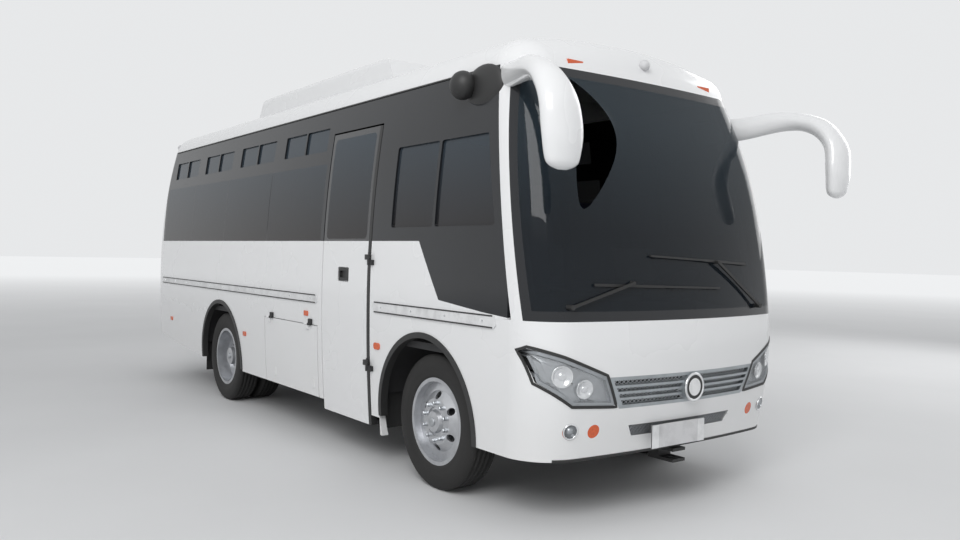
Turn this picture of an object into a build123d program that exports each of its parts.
from build123d import *
import math
import os

# A front-engined intercity bus of the 8 m class.
# Frame of every size here: X forward from the front axle, Y to the bus's left, Z up from
# the ground, in millimetres.  save() moves the finished pieces forward by
# front_axle_ahead, so that the origin lies on the ground in the middle of the whole box.

os.makedirs("parts", exist_ok=True)

# Driving dimensions of the body
front_axle_ahead = 2463.5
wheelbase = 4065
half_width = 1180
widest_z = 1300
lower_side_radius = 12500
upper_side_radius = 8700
crown_z = 3090
crown_radius = 5200
shoulder_radius = 250
front_corner_radius = 320
rear_corner_radius = 200
inner_front_corner_radius = 240
inner_rear_corner_radius = 150
body_bottom_z = 250
body_lid_z = 3300
wall = 50
skin = 10
gap = 14
fit = 0.3

# The two ends of the body: height, front x, how far the front falls back at full width,
# rear x, how far the rear comes forward at full width
end_rows = [
    (200, 1215, 120, -6440, 60),
    (620, 1250, 135, -6455, 60),
    (950, 1312, 185, -6462, 60),
    (1300, 1290, 180, -6460, 60),
    (1800, 1195, 136, -6440, 60),
    (2300, 1058, 90, -6385, 60),
    (2800, 865, 75, -6270, 60),
    (3300, 610, 70, -6110, 60),
]

# Heights and stations of the panels
sill_z = 380
front_skirt_z = 400
rear_skirt_z = 540
bumper_seam_z = 880
floor_top_z = 1000
floor_thick = 50
belt_z = 1702
pane_top_z = 2350
slider_low_z = 2435
slider_top_z = 2690
drip_z = 2820
rear_seam_x = -6170
front_seam_x = 830
pillar_lean = 0.21
pillar_width = 85
screen_border = 60
screen_edge_x = 892
screen_low_z = 1235
screen_top_z = 2800

# Entry door
door_rear_x = -1616
door_front_x = -795
door_low_z = 300
door_top_z = 2600
door_hinge_y = 1197
door_strip = 40

# Front window on either side
cab_window_rear_x = -600
cab_window_front_x = 770
cab_window_low_z = 1750
cab_window_top_z = 2450

# Luggage hatch on either side
hatch_rear_x = -2836
hatch_front_x = -1688
hatch_top_z = 990
hatch_hinge_y = 1192

# Boot lid in the rear panel
boot_half = 640
boot_low_z = 640
boot_top_z = 1420

# Wheels
tyre_radius = 465
tyre_width = 225
rim_radius = 286
flange_radius = 300
wheel_face_y = 1110
twin_pitch = 260
kingpin_y = 800
kingpin_radius = 22
running_clearance = 0.05
arch_half = 610
arch_high = 625
arch_centre_z = 450
front_arch_x = -65
rear_arch_x = -4060
arch_trim = 40
wheelhouse_inner_y = 600
wheelhouse_low_z = 560


far = 8000


def span(x0, x1, y0, y1, z0, z1):
    """Box between two corners."""
    return Pos((x0 + x1) / 2, (y0 + y1) / 2, (z0 + z1) / 2) * Box(x1 - x0, abs(y1 - y0), z1 - z0)


def side_y(z):
    """Half width of the body's outer face at a height."""
    radius = lower_side_radius if z < widest_z else upper_side_radius
    return half_width - radius + math.sqrt(radius ** 2 - (z - widest_z) ** 2)


def side_prism(points, y0, y1, rounding=0):
    """Outline of (x, z) points carried along Y between two places."""
    outline = Polyline(*[(x, z) for x, z in points], close=True)
    face = make_face(outline)
    if rounding:
        face = fillet(face.vertices(), rounding)
    low, high = min(y0, y1), max(y0, y1)
    plane = Plane(origin=(0, low, 0), x_dir=(1, 0, 0), z_dir=(0, -1, 0))
    return extrude(plane * face, amount=-(high - low))


def front_prism(points, x0, x1, rounding=0):
    """Outline of (y, z) points carried along X between two stations."""
    face = make_face(Polyline(*points, close=True))
    if rounding:
        face = fillet(face.vertices(), rounding)
    return extrude(Plane.YZ.offset(x0) * face, amount=x1 - x0)


def mirrored(shape):
    """The same piece on the other side of the bus."""
    return mirror(shape, about=Plane.XZ)


def solids_of(shape):
    """One compound of a shape's solids."""
    return Compound(children=list(shape.solids()))


def together(pieces):
    """One compound of all the solids in a list of pieces."""
    return Compound(children=[s for piece in pieces for s in piece.solids()])


def rect(x0, x1, z0, z1):
    """Corners of an upright rectangle."""
    return [(x0, z0), (x1, z0), (x1, z1), (x0, z1)]


def save(node, shape):
    """Write one node, moved to the frame whose origin is the middle of the box."""
    export_step(Pos(front_axle_ahead, 0, 0) * solids_of(shape), "parts/" + node + ".step")


def body_section(inset):
    """Cross section of the body: two tangent side arcs, a crown arc and round shoulders."""

    def disc(y, z, radius):
        return Pos(y, z) * Circle(radius - inset)

    def band(low, high, radius):
        strip = Pos(0, (low + high) / 2) * Rectangle(2 * half_width, high - low)
        return strip & disc(half_width - radius, widest_z, radius) & disc(radius - half_width, widest_z, radius)

    upper = band(widest_z, body_lid_z, upper_side_radius)
    upper = upper & disc(0, crown_z - crown_radius, crown_radius)
    lower = band(body_bottom_z, widest_z, lower_side_radius)
    section = upper + lower
    shoulders = [v for v in section.vertices() if v.Y > drip_z]
    return fillet(shoulders, shoulder_radius - inset)


def end_envelope(inset):
    """Loft through the bowed front and rear ends, wider than the body."""
    wires = []
    reach = half_width + 20
    for z, front, front_fall, rear, rear_fall in end_rows:
        ahead = front - inset
        behind = rear + inset
        nose = ThreePointArc((ahead - front_fall, -reach, z), (ahead, 0, z), (ahead - front_fall, reach, z))
        left = Line((ahead - front_fall, reach, z), (behind + rear_fall, reach, z))
        tail = ThreePointArc((behind + rear_fall, reach, z), (behind, 0, z), (behind + rear_fall, -reach, z))
        right = Line((behind + rear_fall, -reach, z), (ahead - front_fall, -reach, z))
        wires.append(Wire([nose, left, tail, right]))
    return Solid.make_loft(wires, False)


def end_edges(body, ahead):
    """Edges round the front or rear face, apart from the one along its bottom."""
    found = []
    for face in body.faces():
        centre = face.center()
        beyond = centre.X > front_seam_x if ahead else centre.X < rear_seam_x
        if beyond and abs(face.normal_at(centre).X) > 0.8:
            found += [e for e in face.edges() if e.center().Z > body_bottom_z + 5]
    return found


def body_block(inset, front_radius, rear_radius):
    """The whole body as one block, its skin moved in by inset."""
    length = end_rows[0][1] - end_rows[0][3] + 1000
    prism = extrude(Plane.YZ.offset(end_rows[0][3] - 400) * body_section(inset), amount=length)
    block = prism & end_envelope(inset)
    block = fillet(end_edges(block, True), front_radius)
    return fillet(end_edges(block, False), rear_radius)


outer = body_block(0, front_corner_radius, rear_corner_radius)
under_skin = body_block(skin, front_corner_radius - skin, rear_corner_radius - skin)
inner = body_block(wall, inner_front_corner_radius, inner_rear_corner_radius)


def layers(zone):
    """Full wall, outer skin and inner liner of the body within one box."""
    outside, beneath, inside = outer & zone, under_skin & zone, inner & zone
    return outside - inside, outside - beneath, beneath - inside


front_shell, front_skin, front_liner = layers(span(480, far, -far, far, body_bottom_z, drip_z))
rear_shell, rear_skin, rear_liner = layers(span(-far, rear_seam_x, -far, far, body_bottom_z, drip_z))
side_shell, side_skin, side_liner = layers(span(rear_seam_x, 870, 700, far, body_bottom_z, drip_z))


def pillar_x(z):
    """Station of the windscreen's side edge at a height."""
    return screen_edge_x - pillar_lean * (z - belt_z)


def leaning_zone(offset, z0, z1):
    """Everything ahead of the leaning line of the windscreen's side edge, moved by offset."""
    points = [(pillar_x(z0) + offset, z0), (far, z0), (far, z1), (pillar_x(z1) + offset, z1)]
    return side_prism(points, -far, far)


def behind_pillar(z0, z1):
    """Everything behind the seam between the front mask and the side walls."""
    seam = -pillar_width
    points = [(-far, z0), (pillar_x(z0) + seam, z0), (pillar_x(z1) + seam, z1), (-far, z1)]
    return side_prism(points, -far, far)


# Windscreen: one bowed pane that wraps round both corners, in a black border
screen_aperture = leaning_zone(0, screen_low_z, screen_top_z)
screen_clear = leaning_zone(screen_border, screen_low_z + screen_border, screen_top_z - screen_border)
screen_surround = front_shell & screen_aperture
save("windscreen", front_skin & screen_clear)
windscreen_border = screen_surround - screen_clear

# Rear window in its border
rear_frame = front_prism([(-880, 1760), (880, 1760), (840, 2560), (-840, 2560)], -far, rear_seam_x, 90)
rear_clear = front_prism([(-820, 1820), (820, 1820), (780, 2500), (-780, 2500)], -far, rear_seam_x, 60)
save("rear_window", rear_skin & rear_clear)
save("window_borders", together([windscreen_border, (rear_shell & rear_frame) - rear_clear]))

# Headlamps, in the front view: y, z
lamp_outline = [(630, 728), (930, 745), (1120, 880), (1178, 1085), (1000, 1025), (715, 908)]
lens_outline = [(655, 748), (922, 765), (1098, 890), (1150, 1050), (1000, 1000), (722, 890)]
nose_shell = front_shell & span(700, far, -far, far, front_skirt_z, 1120)
nose_skin = front_skin & span(700, far, -far, far, front_skirt_z, 1120)
nose_liner = front_liner & span(700, far, -far, far, front_skirt_z, 1120)
lamp_rear_x = 900
lamp_prism = front_prism(lamp_outline, lamp_rear_x, 1500, 18)
lens_prism = front_prism(lens_outline, lamp_rear_x + 20, 1500, 14)
bezel = (nose_shell & lamp_prism) - lens_prism
lamp_back = nose_liner & lens_prism
lens = nose_skin & lens_prism
save("headlamps", together([bezel + lamp_back, mirrored(bezel + lamp_back)]))
save("headlamp_lenses", together([lens, mirrored(lens)]))

# Grille and bumper mesh, in the front view
grille_outline = [(-704, 902), (704, 902), (596, 705), (-596, 705)]
grille_inside = [(-660, 880), (660, 880), (572, 727), (-572, 727)]
grille_prism = front_prism(grille_outline, 900, 1500, 12)
grille_opening = front_prism(grille_inside, 900, 1500, 8)
slat_zs = [765, 803, 841]
slat_half = 8
emblem_z = 803
emblem_radius = 92
grille = (nose_shell & grille_prism) - grille_opening
for z in slat_zs:
    grille = grille + (nose_shell & grille_opening & span(900, 1500, -far, far, z - slat_half, z + slat_half))
emblem = Pos(1290, 0, emblem_z) * Rot(0, 90, 0) * Cylinder(emblem_radius, 60)
grille = grille + (emblem - inner)
intake = front_prism([(-490, 591), (490, 591), (448, 521), (-448, 521)], 900, 1500)
save("grille", together([grille, nose_liner & intake]))

# Bumper with its round lamps, the blank plate, and the front mask above
bumper_lamp_rows = [(756, 576, 42), (922, 588, 48)]
lamp_rods = [
    Pos(1150, side * y, z) * Rot(0, 90, 0) * Cylinder(radius, 700)
    for y, z, radius in bumper_lamp_rows for side in (-1, 1)
]
bumper_lamps = [nose_shell & rod for rod in lamp_rods]
both_lamps = [lamp_prism, mirrored(lamp_prism)]
bumper_box = span(front_seam_x, far, -far, far, front_skirt_z, bumper_seam_z)
save("front_bumper", (front_shell & bumper_box).cut(*both_lamps, grille_prism, intake, *lamp_rods))
plate = span(1262, 1270, -330, 170, 435, 580)
save("front_plate", plate + (span(1180, 1262, -180, 20, 470, 514) - outer))
mask_low = front_shell & span(front_seam_x, far, -far, far, bumper_seam_z, screen_low_z)
mask_low = mask_low.cut(*both_lamps, grille_prism)
mask_high = front_shell & span(480, far, -far, far, screen_low_z, drip_z)
mask_high = mask_high.cut(behind_pillar(screen_low_z, drip_z), screen_aperture)
save("front_mask", mask_low + mask_high)

# Rear panel with the boot opening
boot_hole = front_prism(
    rect(-boot_half, boot_half, boot_low_z, boot_top_z), -far, rear_seam_x,
)
tail_lamp = span(-far, rear_seam_x - 60, 860, 980, 900, 1380)
tail_prisms = [tail_lamp, mirrored(tail_lamp)]
rear_low = rear_shell & span(-far, far, -far, far, rear_skirt_z, drip_z)
save("rear_panel", rear_low.cut(rear_frame, boot_hole, *tail_prisms))
save("tail_lamps", together([rear_shell & prism for prism in tail_prisms]))
boot_leaf = front_prism(
    rect(-boot_half + gap, boot_half - gap, boot_low_z + gap, boot_top_z - gap), -far, rear_seam_x,
)
boot_leaf = rear_shell & boot_leaf

# Roof
roof_zone = span(-far, far, -far, far, drip_z, body_lid_z)
save("roof", (outer & roof_zone) - (inner & roof_zone))


def arch(x, grow):
    """Round wheel opening of a wall, as a prism through it."""
    face = Pos(x, arch_centre_z) * Ellipse(arch_half + grow, arch_high + grow)
    plane = Plane(origin=(0, 0, 0), x_dir=(1, 0, 0), z_dir=(0, -1, 0))
    return extrude(plane * face, amount=-far)


pane_joints = [-6110, -5080, -4000, -2830, -1670]
slider_rows = [(-5930, -5040), (-4850, -3940), (-3750, -2810), (-2630, -1690)]
pane_joint = 8
frame_bar = 28
window_flange = 35
skirt_rise = [(-6200, 0), (-4660, 0), (-4660, 400), (-5100, 433), (-5410, 445), (-5810, 488), (-6200, 545)]


# What the two sides share, modelled on the left: everything but the door
side_outside = outer & span(rear_seam_x, 870, 700, far, body_bottom_z, drip_z)


def moved_in(depth):
    """The side's outer face moved inboard."""
    return Pos(0, -depth, 0) * side_outside


slider_layer = moved_in(16) - moved_in(22)
dark_outline = [
    (rear_seam_x, belt_z), (cab_window_rear_x + 464, belt_z), (131, 1309), (609, 1262), (1100, 1228),
    (1100, drip_z), (rear_seam_x, drip_z),
]
dark_zone = side_prism(dark_outline, 700, 1400)
front_cut = [
    side_prism([(pillar_x(screen_low_z) - pillar_width, screen_low_z), (2000, screen_low_z), (2000, drip_z + 10),
                (pillar_x(drip_z + 10) - pillar_width, drip_z + 10)], 700, 1400),
    span(front_seam_x, 2000, 700, 1400, 0, screen_low_z + 1),
]


def pane_cutters(joints):
    """Outer outlines and see-through openings of the fixed panes between joints."""
    outlines = []
    holes = []
    for x0, x1 in zip(joints[:-1], joints[1:]):
        outline = rect(x0 + pane_joint / 2, x1 - pane_joint / 2, belt_z + 3, pane_top_z)
        outlines.append(side_prism(outline, 800, 1400))
        hole = rect(x0 + window_flange, x1 - window_flange, belt_z + window_flange, pane_top_z - window_flange)
        holes.append(side_prism(hole, 800, 1400, 20))
    return outlines, holes


def slider_cutters(rows):
    """Outer outlines and glazed openings of the sliding windows."""
    outlines = []
    glazed = []
    for x0, x1 in rows:
        outlines.append(side_prism(rect(x0, x1, slider_low_z, slider_top_z), 800, 1400, 25))
        middle = (x0 + x1) / 2
        low = slider_low_z + frame_bar
        top = slider_top_z - frame_bar
        for a, b in ((x0 + frame_bar, middle - 12), (middle + 12, x1 - frame_bar)):
            glazed.append(side_prism(rect(a, b, low, top), 800, 1400, 12))
    return outlines, glazed


cab_front_low = pillar_x(cab_window_low_z) - pillar_width - 30
cab_front_top = pillar_x(cab_window_top_z) - pillar_width - 30
cab_outline = [
    (cab_window_rear_x, cab_window_low_z), (cab_front_low, cab_window_low_z),
    (cab_front_top, cab_window_top_z), (cab_window_rear_x, cab_window_top_z),
]
cab_low = cab_window_low_z + 50
cab_top = cab_window_top_z - 63
cab_glass_rear = [(cab_window_rear_x + 75, cab_low), (15, cab_low), (15, cab_top), (cab_window_rear_x + 75, cab_top)]
cab_glass_front = [(45, cab_low), (cab_front_low - 55, cab_low), (cab_front_top - 55, cab_top), (45, cab_top)]
cab_frame = side_prism(cab_outline, 800, 1400, 45)
cab_glazed = [side_prism(outline, 800, 1400, 20) for outline in (cab_glass_rear, cab_glass_front)]

pane_outlines, pane_holes = pane_cutters(pane_joints)
slider_outlines, slider_glazed = slider_cutters(slider_rows)
hatch_hole = side_prism(rect(hatch_rear_x, hatch_front_x, 0, hatch_top_z), 800, 1400)
arches = [arch(x, 0) for x in (front_arch_x, rear_arch_x)]

wall_side = side_shell.cut(
    *arches, *front_cut, side_prism(skirt_rise, 700, 1400), hatch_hole, dark_zone,
    span(rear_seam_x, front_arch_x - arch_half, 700, 1400, 0, sill_z),
    span(front_arch_x, 2000, 700, 1400, 0, front_skirt_z),
)
backing = (side_liner & dark_zone).cut(*front_cut, *pane_holes, *slider_outlines, cab_frame)
band = (side_skin & dark_zone).cut(*front_cut, *pane_outlines, *slider_outlines, cab_frame)
panes = [side_skin & outline for outline in pane_outlines]
frame_blocks = [side_shell & outline for outline in slider_outlines + [cab_frame]]
slider_frames = [block.cut(*(slider_glazed + cab_glazed)) for block in frame_blocks]
slider_panes = [slider_layer & outline for outline in slider_glazed + cab_glazed]

doorway = side_prism(rect(door_rear_x, door_front_x, 0, door_top_z), 700, 1400)
save("side_right", mirrored(wall_side - doorway))
save("dark_band_right", mirrored(together([(backing - doorway) + (band - doorway)] + slider_frames)))
save("glazing_right", mirrored(together(panes + slider_panes)))

# The left side has one more fixed pane and slider where the right side has its door
extra_outlines, extra_holes = pane_cutters([pane_joints[-1], cab_window_rear_x - 20])
more_outlines, more_glazed = slider_cutters([(-1510, -720)])
panes_left = panes + [side_skin & outline for outline in extra_outlines]
frames_left = slider_frames + [(side_shell & outline).cut(*more_glazed) for outline in more_outlines]
slider_panes_left = slider_panes + [slider_layer & outline for outline in more_glazed]
band_left = backing.cut(*extra_holes, *more_outlines) + band.cut(*extra_outlines, *more_outlines)
save("side_left", wall_side)
save("dark_band_left", together([band_left] + frames_left))
save("glazing_left", together(panes_left + slider_panes_left))

# Entry door: one leaf with a tall pane, hinged at its front edge
door_leaf_rear = door_rear_x + gap
door_leaf_front = door_front_x - 10
leaf_outline = rect(door_leaf_rear, door_leaf_front - door_strip, door_low_z, door_top_z - gap)
door_pane_outline = rect(-1560, -880, 1720, 2540)
door_glazed = rect(-1530, -910, 1750, 2510)
leaf = side_shell & side_prism(leaf_outline, 800, 1400)
handle_outline = rect(-1330, -1145, 1380, 1495)
handle_recess = side_prism(handle_outline, 1150, 1400, 12)
leaf = leaf.cut(
    side_prism(door_pane_outline, 800, 1400, 40) & side_skin, side_prism(door_glazed, 800, 1400, 25), handle_recess,
)
door_pane = side_skin & side_prism(door_pane_outline, 800, 1400, 40)
handle = side_prism(rect(-1322, -1153, 1388, 1487), 1150.3, 1176, 8)
handle = handle - side_prism(rect(-1300, -1200, 1410, 1465), 1160, 1400, 6)
strip = side_shell & side_prism(rect(door_leaf_front - door_strip, door_leaf_front, door_low_z, door_top_z - gap), 800, 1400)
hinge_x = door_front_x
hinge_radius = 11
hinge_pin_radius = 5
hinge_zs = [760, 1560]
leaf_barrels = None
wall_barrels = None
for z in hinge_zs:
    pin = Pos(hinge_x, door_hinge_y, z + 20) * Cylinder(hinge_pin_radius, 78)
    lower_barrel = Pos(hinge_x, door_hinge_y, z - 20) * Cylinder(hinge_radius, 40) + pin
    wall_plate = span(hinge_x - 6, hinge_x + 50, side_y(z) - 25, door_hinge_y, z - 40, z) - outer
    lower_barrel = lower_barrel + wall_plate
    upper_barrel = Pos(hinge_x, door_hinge_y, z + 20 + fit) * Cylinder(hinge_radius, 40 - fit)
    leaf_plate = span(hinge_x - 62, hinge_x - 7, side_y(z) - 25, door_hinge_y, z + fit, z + 40) - outer
    upper_barrel = upper_barrel + leaf_plate - Pos(hinge_x, door_hinge_y, z + 20) * Cylinder(
        hinge_pin_radius + running_clearance, 90)
    leaf_barrels = upper_barrel if leaf_barrels is None else leaf_barrels + upper_barrel
    wall_barrels = lower_barrel if wall_barrels is None else wall_barrels + lower_barrel
save("entry_door", mirrored(leaf))
save("door_pane", mirrored(door_pane))
save("door_trim", mirrored(together([strip + leaf_barrels, handle])))

# Luggage hatches, hinged along their tops
hatch_outline = rect(hatch_rear_x + gap, hatch_front_x - gap, sill_z, hatch_top_z - 6)
hatch = side_shell & side_prism(hatch_outline, 800, 1400)
latches = [
    side_prism(rect(x - 22, x + 22, 447, 530), 1100, side_y(490) + 6, 8) - outer for x in (-2610, -1800)
]
hatch_barrels = None
hatch_brackets = None
for x in (hatch_rear_x + 160, hatch_front_x - 160):
    z = hatch_top_z + 2
    turned = Rot(0, 90, 0)
    pin = Pos(x, hatch_hinge_y, z) * turned * Cylinder(hinge_pin_radius, 120)
    lid_barrel = Pos(x - 30, hatch_hinge_y, z) * turned * Cylinder(hinge_radius - 1, 60 - fit)
    lid_plate = span(x - 60 + fit, x - fit, side_y(z) - 25, hatch_hinge_y, z - 45, z) - outer
    lid_barrel = lid_barrel + lid_plate - Pos(x, hatch_hinge_y, z) * turned * Cylinder(
        hinge_pin_radius + running_clearance, 140)
    wall_barrel = Pos(x + 30, hatch_hinge_y, z) * turned * Cylinder(hinge_radius - 1, 60 - fit)
    wall_plate = span(x + fit, x + 60 - fit, side_y(z) - 25, hatch_hinge_y, z, z + 45) - outer
    wall_barrel = wall_barrel + wall_plate + pin
    hatch_barrels = lid_barrel if hatch_barrels is None else hatch_barrels + lid_barrel
    hatch_brackets = wall_barrel if hatch_brackets is None else hatch_brackets + wall_barrel
for name, placed in (("right", mirrored), ("left", lambda shape: shape)):
    save("luggage_hatch_" + name, placed(hatch + hatch_barrels + latches[0] + latches[1]))

# Boot lid hinges along the lid's top edge
boot_hinge_x = -6472
boot_hinge_z = boot_top_z - 5
lid_barrels = []
panel_barrels = []
for y in (-400, 400):
    turned = Rot(90, 0, 0)
    pin = Pos(boot_hinge_x, y, boot_hinge_z) * turned * Cylinder(hinge_pin_radius, 120)
    barrel = Pos(boot_hinge_x, y - 30, boot_hinge_z) * turned * Cylinder(hinge_radius - 1, 60 - fit)
    plate = span(boot_hinge_x, boot_hinge_x + 60, y - 60 + fit, y - fit, boot_hinge_z - 45, boot_hinge_z)
    bore = Pos(boot_hinge_x, y, boot_hinge_z) * turned * Cylinder(hinge_pin_radius + running_clearance, 140)
    lid_barrels.append((barrel + (plate - outer)) - bore)
    barrel = Pos(boot_hinge_x, y + 30, boot_hinge_z) * turned * Cylinder(hinge_radius - 1, 60 - fit)
    plate = span(boot_hinge_x, boot_hinge_x + 60, y + fit, y + 60 - fit, boot_hinge_z, boot_hinge_z + 45)
    panel_barrels.append(barrel + (plate - outer) + pin)
save("boot_lid", boot_leaf + lid_barrels[0] + lid_barrels[1])
body_barrels = [hatch_brackets, mirrored(hatch_brackets), mirrored(wall_barrels)] + panel_barrels
save("hinge_brackets", together(body_barrels))

# Rub rails, arch trims and side lamps on both sides
proud = moved_in(-8) - outer
rail_rows = [(-6140, -1690, 1178, 1250), (-745, 765, 1170, 1250)]
rub_rails = [proud & side_prism(rect(x0, x1, z0, z1), 700, 1400, 30) for x0, x1, z0, z1 in rail_rows]
trims = []
for x in (front_arch_x, rear_arch_x):
    ring = (arch(x, 0) - arch(x, -arch_trim)) & span(-far, far, 700, far, front_skirt_z, far)
    trims.append((moved_in(-8) - moved_in(wall)) & ring)
marker_rows = [(-5778, 749), (-3352, 773), (-1848 - 60, 1080)]
markers = [proud & side_prism(rect(x - 38, x + 38, z - 22, z + 22), 800, 1400, 10) for x, z in marker_rows]
markers.append(proud & side_prism(rect(-726, -640, 893, 943), 800, 1400, 20))
save("rub_rails", together([together(rub_rails), mirrored(together(rub_rails))]))
save("arch_trims", together([together(trims), mirrored(together(trims))]))

# Floor with the two pairs of wheelhouses and the entry steps
floor = inner & span(rear_seam_x - 200, 1050, -far, far, floor_top_z - floor_thick, floor_top_z)
house_outer = 12
house_wall = 10
pads = []
clear = []
for x in (front_arch_x, rear_arch_x):
    keep = span(-far, far, wheelhouse_inner_y - house_wall, side_y(front_skirt_z) - wall - 2, wheelhouse_low_z, far)
    solid = arch(x, house_outer + house_wall) & keep
    hollow = arch(x, house_outer) & span(-far, far, wheelhouse_inner_y, far, 0, far)
    pads.append(solid - hollow)
    clear.append(solid)
clear += [mirrored(c) for c in clear]
floor = floor.cut(*clear)
well = span(door_rear_x, door_front_x, -far, -560, 0, far)
floor = floor - well
steps_profile = [
    (-1120, 340), (-830, 340), (-830, 660), (-560, 660), (-560, 950), (-520, 950), (-520, 620), (-790, 620),
    (-790, 300), (-1120, 300),
]
steps = front_prism(steps_profile, door_rear_x, door_front_x) & inner
floor = floor + pads[0] + pads[1] + mirrored(pads[0]) + mirrored(pads[1]) + steps
save("floor", floor)

# Chassis: two box rails with cross members that carry the floor
rail_y = 400
rail_half = 38
rail_low_z = 640
rail_high_z = 850
rails = None
for side in (-1, 1):
    rail = span(-6050, 1040, side * rail_y - rail_half, side * rail_y + rail_half, rail_low_z, rail_high_z)
    rails = rail if rails is None else rails + rail
cross_xs = [-6020, -5350, -4850, -3250, -2700, -2200, -1700, -760, 1010]
for x in cross_xs:
    rails = rails + span(x - 30, x + 30, -rail_y, rail_y, rail_low_z + 40, rail_high_z - 20)
bearer_xs = [-6020, -5350, -4850, -3250, -2700, -2200, 700]
for x in bearer_xs:
    half = 1080 if x < 0 else 560
    rails = rails + span(x - 30, x + 30, -half, half, rail_high_z, floor_top_z - floor_thick)
rails = rails & inner
save("chassis", rails)

# Engine and gearbox as plain blocks at their real place
engine = span(60, 900, -300, 300, 400, rail_high_z - fit) + span(-560, 60, -180, 180, 520, 820)
save("engine", engine)
engine_cover = span(-150, 980, -420, 420, floor_top_z, 1330) - span(-140, 970, -405, 405, 900, 1315)
engine_cover = engine_cover & inner

# Axles
axle_z = tyre_radius
beam = span(-45, 45, -kingpin_y + 40, kingpin_y - 40, axle_z - 120, axle_z - 30)
for side in (-1, 1):
    boss = Pos(0, side * kingpin_y, axle_z) * Cylinder(48, 90)
    arm = span(-45, 45, side * (kingpin_y - 120), side * (kingpin_y - 10), axle_z - 120, axle_z + 40)
    beam = beam + arm + boss
for side in (-1, 1):
    beam = beam - Pos(0, side * kingpin_y, axle_z) * Cylinder(kingpin_radius + running_clearance, 300)
clear_knuckle = None
for side in (-1, 1):
    for low, high in ((axle_z - 200, axle_z - 46), (axle_z + 46, axle_z + 200)):
        part = Pos(0, side * kingpin_y, (low + high) / 2) * Cylinder(100, high - low)
        clear_knuckle = part if clear_knuckle is None else clear_knuckle + part
beam = beam - clear_knuckle
save("front_axle", beam)
spindle_radius = 30
for name, side in (("left", 1), ("right", -1)):
    y = side * kingpin_y
    knuckle = Pos(0, y, axle_z) * Cylinder(kingpin_radius, 240)
    knuckle = knuckle + Pos(0, y, axle_z + 80) * Cylinder(50, 60)
    knuckle = knuckle + Pos(0, y, axle_z - 80) * Cylinder(50, 60)
    knuckle = knuckle + span(-50, 50, y + side * 52, y + side * 80, axle_z - 110, axle_z + 110)
    knuckle = knuckle + span(-40, 40, y, y + side * 66, axle_z + 50, axle_z + 110)
    knuckle = knuckle + span(-40, 40, y, y + side * 66, axle_z - 110, axle_z - 50)
    spindle = Pos(0, y + side * 165, axle_z) * Rot(90, 0, 0) * Cylinder(spindle_radius, 190)
    save("knuckle_" + name, knuckle + spindle)

rear_axle = Pos(-wheelbase, 0, axle_z) * Rot(90, 0, 0) * Cylinder(70, 1900)
rear_axle = rear_axle + Pos(-wheelbase, 0, axle_z) * Sphere(190)
save("rear_axle", rear_axle)

# Leaf springs: arched packs between the axles and the rails' hangers
spring_rows = [(0, axle_z - 30, rail_low_z, 640), (-wheelbase, axle_z + 70, rail_low_z, 760)]
springs = []
for x, seat_z, hang_z, half in spring_rows:
    for side in (-1, 1):
        low, high = sorted((side * (rail_y + 35), side * (rail_y - 35)))
        arc = [(x - half, hang_z - 60), (x, seat_z + 3), (x + half, hang_z - 60)]
        curve = ThreePointArc(*[(px, 0, pz) for px, pz in arc])
        top = ThreePointArc(*[(px, 0, pz + 45) for px, pz in arc])
        ends = [Line(curve @ 1, top @ 1), Line(top @ 0, curve @ 0)]
        face = Face(Wire([curve, ends[0], top, ends[1]]))
        leaf_pack = Pos(0, low, 0) * extrude(face, amount=high - low, dir=(0, 1, 0))
        for px in (x - half + 40, x + half - 40):
            leaf_pack = leaf_pack + span(px - 30, px + 30, low, high, hang_z - 60, hang_z)
        springs.append(leaf_pack)
save("leaf_springs", together(springs))


def wheel_ring(outline, y, name_side):
    """Revolve (radius, across) points about the wheel's axle at a station."""
    face = make_face(Polyline(*[(0, across, radius) for radius, across in outline], close=True))
    ring = revolve(face, Axis((0, 0, 0), (0, 1, 0)))
    return ring if name_side > 0 else mirrored(ring)


half_tyre = tyre_width / 2
flange_outer = 98
flange_inner = 88
bead_seat = 84
tyre_outline = [
    (rim_radius, -bead_seat + fit), (flange_radius + fit, -flange_inner + fit), (flange_radius + fit, -flange_outer),
    (flange_radius + 12, -flange_outer - 6), (380, -half_tyre), (435, -half_tyre + 6), (458, -half_tyre + 18),
    (tyre_radius, -half_tyre + 34), (tyre_radius, half_tyre - 34), (458, half_tyre - 18), (435, half_tyre - 6),
    (380, half_tyre), (flange_radius + 12, flange_outer + 6), (flange_radius + fit, flange_outer),
    (flange_radius + fit, flange_inner - fit), (rim_radius, bead_seat - fit),
]
barrel_outline = [
    (rim_radius - 12, -flange_outer), (flange_radius, -flange_outer), (flange_radius, -flange_inner),
    (rim_radius, -bead_seat), (rim_radius, bead_seat), (flange_radius, flange_inner),
    (flange_radius, flange_outer), (rim_radius - 12, flange_outer),
]
front_disc = [
    (100, 84), (150, 78), (205, 40), (rim_radius - 12, 30), (rim_radius - 12, 44), (210, 54), (158, 92), (100, 98),
]
front_hub = [
    (spindle_radius + running_clearance, -70), (110, -70), (110, 87), (82, 92), (70, 118), (20, 126), (20, 90),
    (spindle_radius + running_clearance, 90),
]
drum = [(110, -72), (200, -72), (200, 20), (188, 20), (188, -60), (110, -60)]
hand_hole_count = 6
hand_hole_radius = 26
hand_hole_pitch = 178
stud_count = 10
stud_pitch = 122

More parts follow.
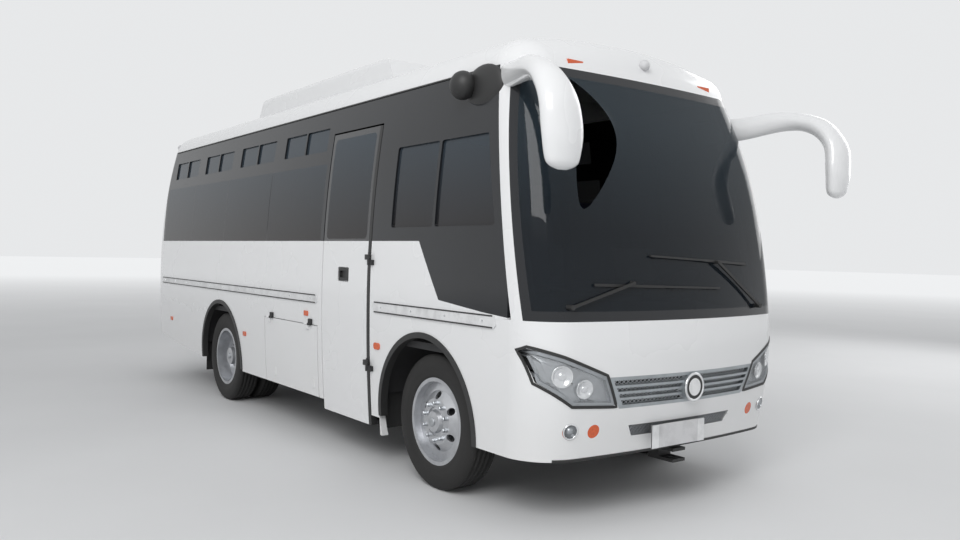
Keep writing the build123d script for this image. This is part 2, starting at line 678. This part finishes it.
for name, x, twin, side in (
    ("front_left", 0, False, 1), ("front_right", 0, False, -1),
    ("rear_left", -wheelbase, True, 1), ("rear_right", -wheelbase, True, -1),
):
    centre_y = wheel_face_y - half_tyre
    tyre = wheel_ring(tyre_outline, 0, 1)
    barrel = wheel_ring(barrel_outline, 0, 1)
    holes = [
        Rot(0, k * 360 / hand_hole_count, 0) * Pos(0, 50, hand_hole_pitch) * Rot(90, 0, 0) * Cylinder(hand_hole_radius, 160)
        for k in range(hand_hole_count)
    ]
    disc = wheel_ring(front_disc, 0, 1)
    if twin:
        disc = mirror(disc, about=Plane.XZ)
    disc = disc.cut(*holes) if not twin else disc.cut(*[mirror(h, about=Plane.XZ) for h in holes])
    rim = barrel + disc
    if twin:
        inner_rim = mirror(rim, about=Plane.XZ)
        rim = rim + Pos(0, -twin_pitch, 0) * inner_rim
        tyre = together([tyre, Pos(0, -twin_pitch, 0) * tyre])
        hub_outline = [(70 + fit, -twin_pitch - 60), (120, -twin_pitch - 60), (120, 0), (95, 20), (90, 60), (20, 66), (20, 30), (70 + fit, 20)]
        rim = rim + wheel_ring(hub_outline, 0, 1)
    else:
        rim = rim + wheel_ring(front_hub, 0, 1) + wheel_ring(drum, 0, 1)
    place = Pos(x, centre_y, axle_z)
    tyre = place * tyre
    rim = place * rim
    if side < 0:
        tyre = mirrored(tyre)
        rim = mirrored(rim)
    save("tyre_" + name, tyre)
    save("rim_" + name, rim)

# Mud flaps behind the wheels
flaps = []
flap_rows = [(-700, 290), (-4720, 235)]
for x, low_z in flap_rows:
    flap = span(x - 8, x, 620, 1085, low_z, floor_top_z - floor_thick)
    flaps += [flap, mirrored(flap)]
save("mudflaps", together(flaps))

# Roof air conditioner, seated on the roof
pod_outline = [(-4140, crown_z - 120), (-3960, 3235), (-3700, 3262), (-1500, 3262), (-1300, 3225), (-1170, crown_z - 120)]
pod = side_prism(pod_outline, -760, 760)
pod = fillet(pod.edges().filter_by(Axis.X).sort_by(Axis.Z)[-2:], 70) - outer
save("roof_unit", pod)

# Mirrors: arm and head as one tapered, curved moulding
mirror_rows = [
    # x, y, z, then along x, y, z, then crown x, y, z, then half height, half width
    (500, 990, 2700, 0.93, 0.36, 0.0, 0, 0, 1, 75, 45),
    (850, 1130, 2705, 0.90, 0.42, 0.0, 0, 0, 1, 72, 50),
    (1150, 1265, 2690, 0.85, 0.42, -0.3, 0.28, 0.14, 0.95, 72, 62),
    (1370, 1335, 2610, 0.55, 0.15, -0.82, 0.83, 0.18, 0.53, 74, 92),
    (1465, 1335, 2470, 0.12, -0.03, -1.0, 1.0, 0.1, 0.1, 73, 120),
    (1480, 1325, 2280, 0.0, -0.03, -1.0, 1.0, 0.1, 0, 72, 128),
    (1478, 1320, 2140, 0.0, 0.0, -1.0, 1.0, 0.1, 0, 60, 110),
    (1477, 1318, 2075, 0.0, 0.0, -1.0, 1.0, 0.1, 0, 25, 52),
]
sections = []
for x, y, z, ax, ay, az, cx, cy, cz, half_high, half_wide in mirror_rows:
    plane = Plane(origin=(x, y, z), x_dir=(cx, cy, cz), z_dir=(ax, ay, az))
    sections.append(plane * Ellipse(half_high, half_wide))
arm = loft(sections) - outer
save("mirrors", together([arm, mirrored(arm)]))

# Roof lamps and the cameras
lamp_pads = bumper_lamps + list(markers) + [mirrored(m) for m in markers]
for side in (-1, 1):
    lamp_pads.append(span(720, 825, side * 567, side * 697, 2826, 2866) - outer)
    lamp_pads.append((Pos(613, side * 852, 2957) * Sphere(32)) - outer)
save("marker_lamps", together(lamp_pads))
cameras = [(Pos(829, 0, 2925) * Sphere(38)) - outer, (Pos(-6080, -1000, 2890) * Sphere(34)) - outer]
save("cameras", together(cameras))

# Seats: benches on both sides of the aisle, seen through the glass
seat_pitch = 760
seat_profile = [
    (0, floor_top_z), (60, floor_top_z), (60, 1330), (430, 1330), (470, 1370), (455, 1440), (60, 1420), (-60, 2080),
    (-150, 2080), (-60, 1330), (0, 1330),
]
benches = []
for row in range(7):
    for side in (-1, 1):
        if side < 0 and row == 6:
            continue
        x = -5900 + row * seat_pitch
        bench = side_prism([(x + px, pz) for px, pz in seat_profile], side * 230, side * 1060)
        benches.append(bench.cut(*clear))
driver_seat = side_prism([(-420 + px, pz) for px, pz in seat_profile], 520, 1000).cut(*clear)
save("seats", together(benches + [driver_seat]))

# Dashboard and steering wheel
dash = span(760, 1180, -far, far, floor_top_z, 1215) & inner
column_foot = Vector(760, 700, 1078)
column_lean = 35
column_length = 420
along_column = Pos(*column_foot) * Rot(0, -column_lean, 0)
column = along_column * Pos(0, 0, column_length / 2) * Cylinder(22, column_length)
ring = along_column * Pos(0, 0, column_length) * Torus(225, 14)
spokes = along_column * Pos(0, 0, column_length) * (Box(30, 450, 12) + Cylinder(55, 40))
save("dashboard", (dash - span(-160, 990, -421, 421, 900, 1331)) + engine_cover)
save("steering_wheel", (ring + spokes + column) - dash)

# Wipers: blade and arm pairs, each arm carried on a pivot that stands on the border


def nose_point(y, z, lift):
    """Point ahead of the front face by lift, at a place in the front view."""
    hits = outer.find_intersection_points(Axis((far, y, z), (-1, 0, 0)))
    ahead = max(point.X for point, _ in hits)
    return Vector(ahead + lift, y, z)


def bar(p, q, width, height):
    """Straight bar of rectangular section between two points."""
    return extrude(Plane(origin=p, z_dir=(q - p)) * Rectangle(width, height), amount=(q - p).length)


wiper_rows = [
    # blade start y, z, blade end y, z, arm's end on the blade y, z, pivot y, z
    (-345, 1631, 655, 1590, 285, 1601, 765, 1303),
    (-795, 1452, 290, 1429, -520, 1464, -965, 1322),
]
wipers = []
for y0, z0, y1, z1, ya, za, yp, zp in wiper_rows:
    middle_y, middle_z = (y0 + y1) / 2, (z0 + z1) / 2
    points = [nose_point(y0, z0, 14), nose_point(middle_y, middle_z, 14), nose_point(y1, z1, 14)]
    blade = bar(points[0], points[1], 12, 16) + bar(points[1], points[2], 12, 16)
    elbow = nose_point(ya, za, 34)
    pivot = nose_point(yp, zp, 34)
    arm_bar = bar(elbow, pivot, 18, 14)
    post = Pos(pivot.X - 60, yp, zp) * Rot(0, 90, 0) * Cylinder(16, 140)
    clip = Pos(elbow.X - 12, ya, za) * Rot(0, 90, 0) * Cylinder(12, 34)
    wipers.append((blade + arm_bar + post + clip) - outer)
save("wipers", together(wipers))

# Fuel tank and silencer hang under the floor, from straps on the rail
fuel_tank = fillet(span(-3150, -2300, 470, 1000, 420, 800).edges().filter_by(Axis.X), 60)
for x in (-3000, -2450):
    fuel_tank = fuel_tank + span(x - 25, x + 25, rail_y + rail_half, 520, 680, 720)
save("fuel_tank", fuel_tank)
exhaust = Pos(-2600, -720, 560) * Rot(0, 90, 0) * Cylinder(110, 800)
for x in (-2800, -2400):
    exhaust = exhaust + span(x - 15, x + 15, -735, -705, 640, floor_top_z - floor_thick)
save("exhaust", exhaust)

# Towing jaws at both ends, each two plates with a pin hole, on an arm from the frame
jaw_rows = [(1150, 1040, 300), (-6370, -6050, 420)]
tow_pin_radius = 20
jaw_gap = 50
jaw_plate = 20
jaws = []
for x, root_x, low_z in jaw_rows:
    x0, x1 = sorted((x + math.copysign(60, x), root_x))
    top_z = low_z + 2 * jaw_plate + jaw_gap
    jaw = span(x0, x1, -60, 60, low_z, top_z)
    slot_x0, slot_x1 = sorted((x + math.copysign(61, x), x - math.copysign(60, x)))
    jaw = jaw - span(slot_x0, slot_x1, -61, 61, low_z + jaw_plate, low_z + jaw_plate + jaw_gap)
    stem_x0, stem_x1 = sorted((root_x, root_x - math.copysign(40, x)))
    jaw = jaw + span(stem_x0, stem_x1, -60, 60, low_z, rail_low_z + 40)
    jaw = jaw - Pos(x, 0, low_z + 45) * Cylinder(tow_pin_radius, 200)
    jaws.append(jaw)
save("tow_jaws", together(jaws))
